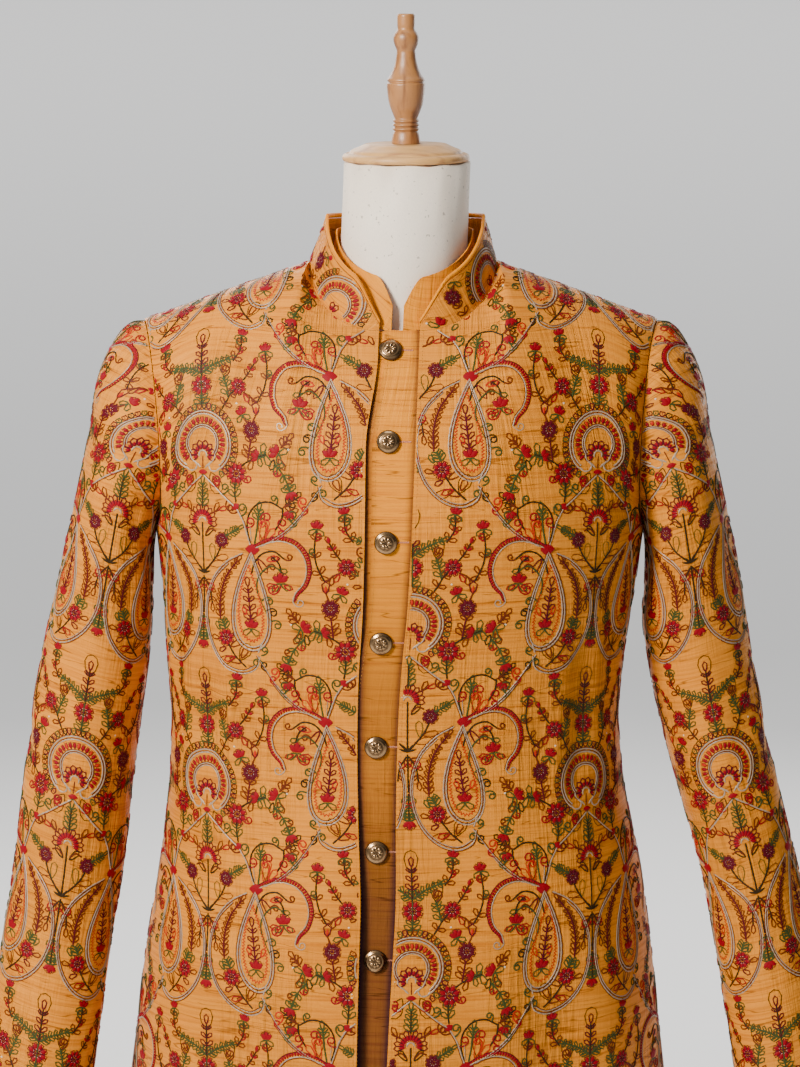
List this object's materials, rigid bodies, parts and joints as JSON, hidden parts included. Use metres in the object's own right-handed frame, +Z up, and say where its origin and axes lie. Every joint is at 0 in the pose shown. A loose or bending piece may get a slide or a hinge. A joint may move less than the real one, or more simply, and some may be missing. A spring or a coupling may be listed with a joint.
{
  "type": "sherwani coat on a limbless dress form",
  "caption": "Knee-length embroidered sherwani coat with stand collar, open front edges over a buttoned silk placket and long sleeves, worn by a limbless dress form on a round foot.",
  "frame": {"origin": "centre of the foot's underside, on the floor below the form", "axes": "+Z up, the coat's front faces -Y, the wearer's left is +X"},
  "size_m": [0.7685, 0.42, 1.6873],
  "materials": {
    "embroidered_silk": "mustard-gold slub silk with wool thread embroidery",
    "plain_silk": "plain mustard-gold slub silk with a soft sheen",
    "antique_brass": "antiqued, darkened in the low parts",
    "form_jersey": "stretched off-white cotton jersey, matte",
    "turned_wood": "turned pale wood, satin",
    "pole_steel": "satin tube"
  },
  "bodies": {
    "root": {"front_left": "embroidered_silk", "front_right": "embroidered_silk", "back": "embroidered_silk", "sleeve_left": "embroidered_silk", "sleeve_right": "embroidered_silk", "collar": "embroidered_silk", "collar_binding": "plain_silk", "inner_collar": "plain_silk", "placket_left": "plain_silk", "placket_right": "plain_silk", "form_torso": "form_jersey", "neck_cap": "turned_wood", "finial": "turned_wood", "foot": "turned_wood", "pole": "pole_steel", "button_1": "antique_brass", "button_2": "antique_brass", "button_3": "antique_brass", "button_4": "antique_brass", "button_5": "antique_brass", "button_6": "antique_brass", "button_7": "antique_brass"}
  },
  "joints": []
}
